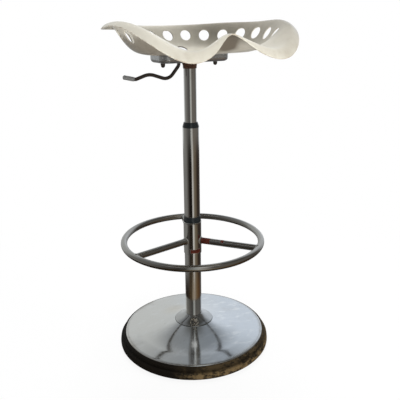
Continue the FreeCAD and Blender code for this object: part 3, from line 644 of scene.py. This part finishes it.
def thickSheet(points, quads, depth, corner, steps=3):
    # closes a top face into a sheet: the under face is the top face moved down its normals by the depth, and
    # every free edge gets a wall whose two corners are quarter circles
    p = np.asarray(points)
    normal = np.zeros_like(p)
    across = np.cross(p[quads[:, 2]] - p[quads[:, 0]], p[quads[:, 3]] - p[quads[:, 1]])
    for k in range(4):
        np.add.at(normal, quads[:, k], across)
    normal /= np.linalg.norm(normal, axis=1, keepdims=True)
    # free edges have no twin that runs the other way
    pairs = np.stack([quads, np.roll(quads, -1, axis=1)], axis=-1).reshape(-1, 2)
    code, back = pairs[:, 0] * len(p) + pairs[:, 1], pairs[:, 1] * len(p) + pairs[:, 0]
    free = pairs[~np.isin(code, back)]
    along = np.zeros_like(p)
    step = p[free[:, 1]] - p[free[:, 0]]
    step /= np.linalg.norm(step, axis=1, keepdims=True)
    np.add.at(along, free[:, 0], step)
    np.add.at(along, free[:, 1], step)
    rim = np.unique(free)
    outward = np.cross(along[rim], normal[rim])
    outward /= np.linalg.norm(outward, axis=1, keepdims=True)
    top, under = p.copy(), p - normal * depth
    top[rim] -= outward * corner
    under[rim] -= outward * corner
    bend = np.linspace(0, np.pi / 2, steps + 1)[1:]
    lower = bend[::-1] - bend[0]
    out = np.concatenate([-corner + corner * np.sin(bend), -corner + corner * np.sin(lower)])[:-1]
    down = np.concatenate([corner - corner * np.cos(bend), depth - corner + corner * np.cos(lower)])[:-1]
    layers = [p[rim] + outward * o - normal[rim] * d for o, d in zip(out, down)]
    # points are numbered through the top face, the under face and the wall's layers
    m, r = len(p), len(rim)
    spot = np.full(m, -1)
    spot[rim] = np.arange(r)
    rings = [rim] + [2 * m + k * r + np.arange(r) for k in range(len(layers))] + [m + rim]
    first, last = spot[free[:, 0]], spot[free[:, 1]]
    walls = [np.stack([high[last], high[first], low[first], low[last]], axis=1)
             for high, low in zip(rings[:-1], rings[1:])]
    return np.concatenate([top, under] + layers), np.concatenate([quads, quads[:, ::-1] + m] + walls)


# painted shade on the pan: pairs are where a patch of shade starts and over how far it grows, in millimetres
# or levels
shadeAreas = {
    "underEdge": 1.5,
    "paleRight": (80.0, 28.0),
    "paleHigh": (782.0, 16.0),
    "paleShare": 0.85,
    "bottomRight": (35.0, 40.0),
    "bottomLevel": (0.45, 0.3),  # level where it ends and how far below it is full
    "bottomShare": 0.6,
    "ridgeAngle": (6.0, 10.0),  # middle and spread, in degrees from the front
    "ridgeReach": (95.0, 20.0),
    "east": (0.0, 100.0),
    "west": (40.0, 60.0),
    "wallFoot": (0.3, 0.5),
    "wallTop": (1.03, 0.25, 0.12),  # level where it ends, how much higher at the east, and the fade
    "wallFront": (0.5, 0.42, 0.5),  # the same for the cosine of the angle from the front
    "wallShares": (0.26, 0.50, 0.16),  # everywhere, more at the east and less at the west
}


def seatPaintedShade(s, g, points, under, turn, reach, crest):
    # painted shade: all of the under face, less at its right and high up where the light falls, more under
    # the pommel, and some inside the walls; each patch is a product of straight rises, of which each follows
    # one measure
    across, level = points[:, 0], (reach - s["floorHalf"][0]) / (crest - s["floorHalf"][0])
    aside = across * rightSide[0] + points[:, 1] * rightSide[1]
    pale = rising(aside, *g["paleRight"]) + rising(points[:, 2], *g["paleHigh"])
    bottom = rising(aside, *g["bottomRight"]) * rising(g["bottomLevel"][0] - level, 0, g["bottomLevel"][1])
    middle, spread = g["ridgeAngle"]
    ridge = np.exp(-((np.degrees(turn) - middle) / spread) ** 2) * rising(reach, *g["ridgeReach"])
    below = np.clip(1 - g["paleShare"] * pale - g["bottomShare"] * bottom, 0, 1) + ridge
    east, west = rising(across, *g["east"]), rising(-across, *g["west"])
    top, topEast, topFade = g["wallTop"]
    front, frontEast, frontFade = g["wallFront"]
    share, shareEast, shareWest = g["wallShares"]
    wall = rising(level, *g["wallFoot"]) * rising(top + topEast * east - level, 0, topFade)
    wall = wall * rising(front + frontEast * east - np.cos(turn), 0, frontFade)
    return np.where(under, below, wall * (share + shareEast * east - shareWest * west))


def makeSeat(s):
    # the sheet, with how near each point is to the free edge and how much painted shade it gets
    top, quads = seatSheet(s)
    points, faces = thickSheet(top, quads, s["sheet"], s["edgeRound"])
    faces = [list(dict.fromkeys(f)) for f in faces.tolist()]  # the quads at the middle are triangles
    piece = meshPiece("seatShell", points / 1000, faces, finishes["cream_enamel"], "seat")
    across, along = points[:, 0], points[:, 1] + s["forward"]
    turn, reach = np.arctan2(across, -along), np.hypot(across, along)
    crest = seatCurves["crestRadius"](turn)
    edge = crest + seatCurves["lipWidth"](turn)
    near = np.clip(1 - (edge - reach) / s["edgeWear"], 0, 1)
    under = (np.arange(len(points)) >= len(top)) & (reach < edge - shadeAreas["underEdge"])
    grime = seatPaintedShade(s, shadeAreas, points, under, turn, reach, crest)
    for label, value in (("edgeNear", near), ("grime", grime)):
        piece.data.attributes.new(label, "FLOAT", "POINT").data.foreach_set("value", value.astype(np.float32))
    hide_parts("seat_pan")


makeSeat(seatPan)
print("seat made")


def arcThrough(first, middle, last, at):
    # height of the circle through three points, at the given radii
    (x1, y1), (x2, y2), (x3, y3) = first, middle, last
    system = 2 * np.array([[x2 - x1, y2 - y1], [x3 - x1, y3 - y1]])
    right = np.array([x2 ** 2 - x1 ** 2 + y2 ** 2 - y1 ** 2, x3 ** 2 - x1 ** 2 + y3 ** 2 - y1 ** 2])
    cx, cy = np.linalg.solve(system, right)
    return cy - np.sqrt((x1 - cx) ** 2 + (y1 - cy) ** 2 - (at - cx) ** 2) * np.sign(cy - y1)


def turnedPiece(name, profile, count, slot, node):
    # a closed profile in millimetres carried round the upright axis, in place of a node of the base
    points = revolved(profile / 1000, count)
    piece = meshPiece(name, points, gridQuads(count, len(profile), True, True), finishes[slot], "base")
    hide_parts(node)


# the spun dish, in millimetres: (radius, height) of its crown, bend and rim
dish = {
    "bore": (24.0, 60.0),
    "crown": (50.0, 57.5),
    "middle": (98.0, 43.65),
    "bend": (146.0, 37.0),
    "rim": (180.5, 33.2),
    "rimCurve": ((182.4, 32.6), (183.3, 31.4), (183.5, 30.2), (183.5, 24.3), (183.3, 24.0)),
    "under": ((182.2, 24.0), (182.0, 24.3), (182.0, 29.9), (181.6, 30.9), (180.3, 31.6)),
    "sheet": 1.5,
    "step": 2.0,
    "softBend": 5,
    "count": 240,
}


def dishTop(d):
    # arc to the bend and a straight rim, sampled evenly and softened by a running mean over the bend
    r = np.arange(d["crown"][0], d["rim"][0] + 0.01, d["step"])
    arc = arcThrough(d["crown"], d["middle"], d["bend"], np.minimum(r, d["bend"][0]))
    fall = (d["bend"][1] - d["rim"][1]) / (d["rim"][0] - d["bend"][0])
    z = arc - np.maximum(r - d["bend"][0], 0) * fall
    ends = np.concatenate([2 * z[0] - z[2:0:-1], z, 2 * z[-1] - z[-2:-4:-1]])
    return np.stack([r, np.convolve(ends, np.ones(d["softBend"]) / d["softBend"], "valid")], axis=1)


def makeDish(d):
    # out along the top from the bore, round the rim, and back along the same line one sheet lower
    top = dishTop(d)
    drop = np.array([0.0, d["sheet"]])
    bore = np.array([d["bore"]])
    profile = np.concatenate([bore, top, d["rimCurve"], d["under"], top[::-1][1:] - drop, bore - drop])
    turnedPiece("dishSkin", profile, d["count"], "polished_dish", "base_cover")


makeDish(dish)

# the cone at the column's foot, in millimetres; the soft edges are offsets from foot, top and bore
trim = {
    "foot": (49.5, 57.8),
    "footEdge": 1.2,
    "footSoft": ((-0.3, 0.0), (0.0, 0.3), (0.0, 0.95)),
    "top": (22.0, 75.1),
    "topSoft": ((0.0, -0.1), (-0.3, 0.0)),
    "bore": 21.1,
    "boreSoft": ((0.15, 0.0), (0.0, -0.2)),
    "middle": (34.55, 65.85),
    "arcEnds": (-0.35, 0.25),
    "sheet": 0.9,
    "topInner": 73.7,
    "footInner": 47.7,
    "count": 128,
    "rows": 14,
}


def makeTrim(t):
    # an outer arc from foot to top, an inner arc back, and soft edges between them
    foot, top, bore = np.array(t["foot"]), np.array(t["top"]), np.array((t["bore"], t["top"][1]))
    r = np.linspace(foot[0] + t["arcEnds"][0], top[0] + t["arcEnds"][1], t["rows"])
    outer = np.stack([r, arcThrough(foot + (0.0, t["footEdge"]), t["middle"], top, r)], axis=1)
    innerTop, innerFoot = (t["bore"], t["topInner"]), (t["footInner"], foot[1])
    innerMiddle = np.array(t["middle"]) - t["sheet"]
    r = np.linspace(innerTop[0], innerFoot[0], t["rows"])
    under = np.stack([r, arcThrough(innerTop, innerMiddle, innerFoot, r)], axis=1)
    profile = np.concatenate([foot + t["footSoft"], outer, top + t["topSoft"], bore + t["boreSoft"], under])
    turnedPiece("trimCone", profile, t["count"], "polished_dish", "column_cover")


makeTrim(trim)

# the rubber ring, in millimetres: corners as radius, height and rounding, and the waves of its outer face as
# number round the ring, height over which each turns by a radian, and size
ring = {
    "corners": (
        (172.0, 0.0, 0.4), (193.8, 0.0, 1.2), (197.2, 3.4, 1.4), (197.5, 7.0, 1.5), (196.7, 16.2, 1.6),
        (194.6, 19.3, 1.5), (189.4, 20.6, 0.8), (187.8, 21.7, 0.5), (187.8, 22.8, 0.5), (189.9, 24.0, 0.9),
        (189.8, 28.0, 1.6), (186.6, 30.9, 1.4), (183.9, 31.3, 0.3), (183.5, 30.9, 0.2), (183.5, 24.0, 0.1),
        (182.0, 24.0, 0.1), (182.0, 28.3, 0.2), (180.0, 28.3, 0.2), (180.0, 4.0, 0.3), (172.0, 4.0, 0.3),
    ),
    "count": 360,
    "waves": ((7, 6.0, 1.0), (17, -4.0, 0.7), (43, 2.0, 0.4)),
    "unevenness": 0.12,
    "unevenReach": (186.0, 4.0),
    "unevenHeight": (0.0, 4.0),
}


def softCorners(corners, steps=5):
    # each corner (x, z, cut) becomes a quadratic curve that starts and ends cut away from it
    c = np.array([p[:2] for p in corners], float)
    cut = np.array([p[2] for p in corners], float)[:, None]
    back, ahead = np.roll(c, 1, axis=0) - c, np.roll(c, -1, axis=0) - c
    a = c + back / np.linalg.norm(back, axis=1, keepdims=True) * cut
    b = c + ahead / np.linalg.norm(ahead, axis=1, keepdims=True) * cut
    t = np.linspace(0, 1, steps)[None, :, None]
    curve = (1 - t) ** 2 * a[:, None] + 2 * t * (1 - t) * c[:, None] + t ** 2 * b[:, None]
    return curve.reshape(-1, 2)


def makeRing(g):
    # the softened corners carried round; the outer face moves in by the waves, a sum of sines of angle and
    # height, which fade to nothing at the inner faces and the foot
    profile = softCorners(g["corners"])
    points = revolved(profile, g["count"])
    turn = np.linspace(0, 2 * np.pi, g["count"], endpoint=False)[:, None]
    radius, height = profile[None, :, 0], profile[None, :, 1]
    wave = sum(size * np.sin(number * turn + height / pitch) for number, pitch, size in g["waves"])
    outer = rising(radius, *g["unevenReach"]) * rising(height, *g["unevenHeight"])
    shift = g["unevenness"] * (wave - 2) * outer
    points[..., 0] += shift * np.cos(turn)
    points[..., 1] += shift * np.sin(turn)
    quads = gridQuads(*points.shape[:2], True, True)
    piece = meshPiece("rubberRing", points / 1000, quads, finishes["black_rubber"], "base")
    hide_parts("base_ring")


makeRing(ring)
print("base made")

# fillets of weld round both ends of each spoke, in millimetres and degrees
weld = {
    "spokeAngles": (70.0, 190.0, 310.0),
    "spokeRadius": 8.0,
    "height": 285.0,
    "sleeveRadius": 22.55,
    "ringRadius": 175.0,
    "ringTube": 8.0,
    "ringClear": 6.0,  # square millimetres that keep the seam off the ring where both tubes graze
    "bead": (2.4, 1.5),
    "ripple": 0.16,
    "ripples": 19,
    "count": 120,
    "sides": 10,
}


def makeWelds(w):
    # seam: where the spoke's circle (y = r sin a, z = r cos a) meets the sleeve or the ring; the bead is a
    # ring of circles along it whose radius ripples with the angle
    a = np.linspace(0, 2 * np.pi, w["count"], endpoint=False)
    y, z = w["spokeRadius"] * np.sin(a), w["spokeRadius"] * np.cos(a)
    ringReach = w["ringRadius"] - np.sqrt(np.maximum(w["ringTube"] ** 2 - z ** 2, 0) + w["ringClear"])
    seams = (np.sqrt(w["sleeveRadius"] ** 2 - y ** 2), np.sqrt(ringReach ** 2 - y ** 2))
    turn = np.linspace(0, 2 * np.pi, w["sides"], endpoint=False)[None, :, None]
    beads = []
    for x, size in zip(seams, w["bead"]):
        line = np.stack([x, y, z + w["height"]], axis=1)
        ahead = np.roll(line, -1, axis=0) - np.roll(line, 1, axis=0)
        ahead /= np.linalg.norm(ahead, axis=1, keepdims=True)
        side = np.stack([np.zeros_like(a), np.sin(a), np.cos(a)], axis=1)
        side -= ahead * np.sum(side * ahead, axis=1, keepdims=True)
        side /= np.linalg.norm(side, axis=1, keepdims=True)
        other = np.cross(ahead, side)
        rippled = (size + w["ripple"] * np.sin(w["ripples"] * a))[:, None, None]
        beads.append(line[:, None] + rippled * (np.cos(turn) * side[:, None] + np.sin(turn) * other[:, None]))
    quads = gridQuads(w["count"], w["sides"], True, True)
    points, faces = [], []
    for angle in np.radians(w["spokeAngles"]):
        spin = np.array([[np.cos(angle), np.sin(angle), 0], [-np.sin(angle), np.cos(angle), 0], [0, 0, 1]])
        for bead in beads:
            faces.append(quads + len(points) * w["count"] * w["sides"])
            points.append(bead.reshape(-1, 3) @ spin)
    points, faces = np.concatenate(points) / 1000, np.concatenate(faces)
    piece = meshPiece("weldBeads", points, faces, finishes["chrome_tube"], "base")


makeWelds(weld)
print("welds made")

# where the photograph was taken from: place in metres, angles in degrees
camera = {
    "place": (-0.6087, -1.1448, 0.8204),
    "heading": 28.894,
    "pitch": 18.33,
    "roll": 0.647,
    "focalPixels": 543.946,
    "framePixels": 400.0,
}


def makeCamera(c):
    # heading turns from +Y towards +X, pitch looks down, and roll turns the frame about the way ahead
    data = bpy.data.cameras.new("photoCamera")
    data.sensor_width = 36.0
    data.lens = data.sensor_width * c["focalPixels"] / c["framePixels"]
    head, pitch, roll = (math.radians(c[k]) for k in ("heading", "pitch", "roll"))
    ahead = Vector((math.sin(head) * math.cos(pitch), math.cos(head) * math.cos(pitch), -math.sin(pitch)))
    right = Vector((math.cos(head), -math.sin(head), 0.0))
    up = right.cross(ahead)
    rightTurned = right * math.cos(roll) - up * math.sin(roll)
    upTurned = right * math.sin(roll) + up * math.cos(roll)
    turn = Matrix((rightTurned, upTurned, -ahead)).transposed().to_4x4()
    cam = bpy.data.objects.new("photoCamera", data)
    cam.matrix_world = Matrix.Translation(c["place"]) @ turn
    bpy.context.collection.objects.link(cam)
    bpy.context.scene.camera = cam


# the empty studio: strength of its soft light, and the floor, whose sizes are in metres
studio = {
    "ambient": 0.26,
    "floorHalf": 6.0,
    "floorHeight": -0.0005,
    "floorLit": (0.8, 0.8, 0.8),
    "floorLighting": (0.42, 0.40, 0.38),  # the tone that it throws back on the stool
    "floorWhite": (0.90, 1.0),  # how far it shows as plain white, near the stool and far off
    "whiteReach": (0.25, 1.1),
}


def makeWorld(s):
    # white where it is seen, mirrored or looked at through glass, and soft light everywhere else
    world = bpy.data.worlds.new("studio")
    world.use_nodes = True
    sky = Shading(world.node_tree)
    rays = ("Is Camera Ray", "Is Glossy Ray", "Is Transmission Ray")
    direct, mirrored, through = sky.make("ShaderNodeLightPath", out=rays)
    seen = direct.larger(mirrored).larger(through)
    back = sky.tree.nodes["Background"]
    sky.feed(back.inputs["Color"], (1.0, 1.0, 1.0))
    sky.feed(back.inputs["Strength"], s["ambient"] + seen * (1.0 - s["ambient"]))
    bpy.context.scene.world = world


def makeFloor(s):
    # pale paint under the stool that turns into plain white farther off, where it is seen
    f = Finish("floorPaint")
    x, y, z = f.split()
    seen = f.make("ShaderNodeLightPath", out="Is Camera Ray")
    near, far = s["floorWhite"]
    share = seen * (near + ((x * x + y * y) ** 0.5).step(*s["whiteReach"]) * (far - near))
    lit = f.make("ShaderNodeBsdfDiffuse", sockets={"Color": f.mix(seen, s["floorLighting"], s["floorLit"])})
    white = f.make("ShaderNodeEmission", sockets={"Color": (1.0, 1.0, 1.0)})
    paint = f.show(f.make("ShaderNodeMixShader", sockets={0: share, 1: lit, 2: white}))
    side = (-s["floorHalf"], s["floorHalf"])
    x, y = np.meshgrid(side, side)
    points = np.stack([x, y, np.full_like(x, s["floorHeight"])], axis=-1)
    floor = meshPiece("floor", points, gridQuads(2, 2), paint, None)
    floor.visible_glossy = False


# what the metal mirrors: layers from the floor up, each with the heights over which it fades in and its tones
# by bearing round the stool; both in degrees, bearings to the right of the camera
room = {
    "radius": 30.0,
    "floorTone": (0.030, 0.022, 0.016),
    "lowFade": (-60.0, -34.0),
    "lowBands": (
        (-180.0, (0.20, 0.195, 0.19)),
        (-138.0, (0.13, 0.12, 0.11)),
        (-116.0, (0.014, 0.007, 0.004)),
        (-67.0, (0.030, 0.017, 0.007)),
        (-35.0, (0.090, 0.060, 0.028)),
        (-20.0, (0.11, 0.085, 0.055)),
        (-8.0, (0.34, 0.28, 0.20)),
        (18.0, (0.38, 0.32, 0.25)),
        (38.0, (0.24, 0.18, 0.115)),
        (56.0, (0.19, 0.115, 0.055)),
        (95.0, (0.10, 0.050, 0.020)),
        (135.0, (0.13, 0.12, 0.11)),
        (180.0, (0.20, 0.195, 0.19)),
    ),
    "wallFade": (-27.0, -25.0),
    "wallBands": (
        (-180.0, (0.26, 0.26, 0.255)),
        (-78.0, (0.25, 0.25, 0.24)),
        (-58.0, (0.15, 0.14, 0.13)),
        (-42.0, (0.045, 0.04, 0.035)),
        (-24.0, (0.010, 0.008, 0.007)),
        (1.0, (0.010, 0.007, 0.005)),
        (7.0, (0.50, 0.49, 0.46)),
        (12.0, (0.80, 0.80, 0.77)),
        (24.0, (0.52, 0.50, 0.46)),
        (34.0, (0.22, 0.19, 0.14)),
        (58.0, (0.16, 0.125, 0.085)),
        (88.0, (0.032, 0.022, 0.017)),
        (120.0, (0.055, 0.045, 0.040)),
        (180.0, (0.20, 0.20, 0.20)),
    ),
    "upperFade": (-12.5, -10.5),
    "upperBands": (
        (-180.0, (0.70, 0.73, 0.74)),
        (-127.0, (0.62, 0.64, 0.64)),
        (-108.0, (0.28, 0.28, 0.27)),
        (-80.0, (0.24, 0.235, 0.22)),
        (-60.0, (0.17, 0.165, 0.155)),
        (-40.0, (0.13, 0.125, 0.12)),
        (-22.0, (0.10, 0.096, 0.09)),
        (-11.0, (0.11, 0.106, 0.10)),
        (-4.0, (0.38, 0.40, 0.38)),
        (10.0, (0.66, 0.67, 0.64)),
        (19.0, (0.45, 0.43, 0.40)),
        (30.0, (0.17, 0.16, 0.145)),
        (52.0, (0.19, 0.175, 0.155)),
        (91.0, (0.18, 0.17, 0.155)),
        (108.0, (0.13, 0.12, 0.11)),
        (119.0, (0.18, 0.17, 0.16)),
        (133.0, (0.62, 0.65, 0.68)),
        (150.0, (0.84, 0.88, 0.93)),
        (180.0, (0.80, 0.84, 0.88)),
    ),
    "ceilingFade": (30.0, 52.0),
    "ceilingBands": (
        (-180.0, (0.29, 0.31, 0.325)),
        (-110.0, (0.28, 0.29, 0.30)),
        (-70.0, (0.24, 0.245, 0.245)),
        (-45.0, (0.15, 0.155, 0.155)),
        (-25.0, (0.09, 0.09, 0.09)),
        (-3.0, (0.11, 0.11, 0.11)),
        (6.0, (0.64, 0.68, 0.70)),
        (14.0, (0.90, 0.94, 0.94)),
        (27.0, (0.86, 0.88, 0.86)),
        (37.0, (0.20, 0.19, 0.18)),
        (60.0, (0.15, 0.145, 0.13)),
        (100.0, (0.12, 0.12, 0.11)),
        (125.0, (0.12, 0.12, 0.12)),
        (147.0, (0.27, 0.29, 0.31)),
        (180.0, (0.29, 0.31, 0.325)),
    ),
    "zenithFade": (56.0, 74.0),
    "zenith": (0.09, 0.088, 0.08),
    # a pale band high up on the near side, which shows along the dish's rim: it fades in, then out
    "haloTone": (0.95, 0.96, 0.96),
    "haloHeight": (50.5, 52.0, 56.0, 57.5),
    "haloBearing": (50.0, 70.0),
    "meridians": 96,
    "parallels": 49,
}


def makeRoom(r):
    # the dome glows with the layers' tones; bearing is the arctangent of aside over towards, and height the
    # arcsine of z over the radius; its points are radius times (cos a cos b, sin a cos b, sin b)
    f = Finish("roomTones")
    x, y, z = f.split()
    facing = math.atan2(camera["place"][1], camera["place"][0])
    aside = y * math.cos(facing) - x * math.sin(facing)
    towards = x * math.cos(facing) + y * math.sin(facing)
    bearing = aside.math("ARCTAN2", aside, towards) * (180.0 / math.pi)
    rise = z / r["radius"]
    height = rise.math("ARCSINE", rise) * (180.0 / math.pi)
    around = (bearing + 180.0) / 360.0
    tone = r["floorTone"]
    for layer in ("low", "wall", "upper", "ceiling"):
        stops = [((at + 180.0) / 360.0, colour) for at, colour in r[layer + "Bands"]]
        bands = f.make("ShaderNodeValToRGB", {"stops": stops}, {"Fac": around}, out="Color")
        tone = f.mix(height.step(*r[layer + "Fade"]), tone, bands)
    tone = f.mix(height.step(*r["zenithFade"]), tone, r["zenith"])
    level = height.step(*r["haloHeight"][:2]) * (1.0 - height.step(*r["haloHeight"][2:]))
    tone = f.mix(level * (1.0 - abs(bearing).step(*r["haloBearing"])), tone, r["haloTone"])
    glow = f.show(f.make("ShaderNodeEmission", sockets={"Color": tone}))
    turn = np.linspace(0, 2 * np.pi, r["meridians"], endpoint=False)
    a, b = np.meshgrid(turn, np.linspace(-np.pi / 2, np.pi / 2, r["parallels"]))
    points = r["radius"] * np.stack([np.cos(a) * np.cos(b), np.sin(a) * np.cos(b), np.sin(b)], axis=-1)
    dome = meshPiece("roomDome", points, gridQuads(*points.shape[:2], closeColumns=True), glow, None)
    for ray in ("camera", "diffuse", "transmission", "shadow", "volume_scatter"):
        setattr(dome, "visible_" + ray, False)


# soft lamps, in metres and watts
lamps = {
    "keyLamp": {"place": (0.8, 1.3, 3.0), "aim": (0.0, 0.0, 0.7), "size": 1.6, "watts": 106.0},
    "sideLamp": {"place": (-2.6, -0.7, 0.45), "aim": (0.0, 0.0, 0.75), "size": 1.0, "watts": 17.0},
    "frontLamp": {"place": (-0.9, -2.3, 0.55), "aim": (0.0, 0.0, 0.78), "size": 0.6, "watts": 46.0},
    "lowLamp": {"place": (1.9, -1.7, 0.5), "aim": (0.0, 0.0, 0.75), "size": 0.9, "watts": 40.0},
}


def makeLamps(lamps):
    # square lamps that point at their aims and aren't mirrored by the metal
    for name, l in lamps.items():
        data = bpy.data.lights.new(name, "AREA")
        data.size = l["size"]
        data.energy = l["watts"]
        lamp = bpy.data.objects.new(name, data)
        lamp.location = l["place"]
        lamp.rotation_euler = (Vector(l["aim"]) - Vector(l["place"])).to_track_quat("-Z", "Y").to_euler()
        lamp.visible_glossy = False
        bpy.context.collection.objects.link(lamp)


makeCamera(camera)
makeWorld(studio)
makeFloor(studio)
makeRoom(room)
makeLamps(lamps)
bpy.context.scene.view_settings.view_transform = "Standard"
print("stage set")
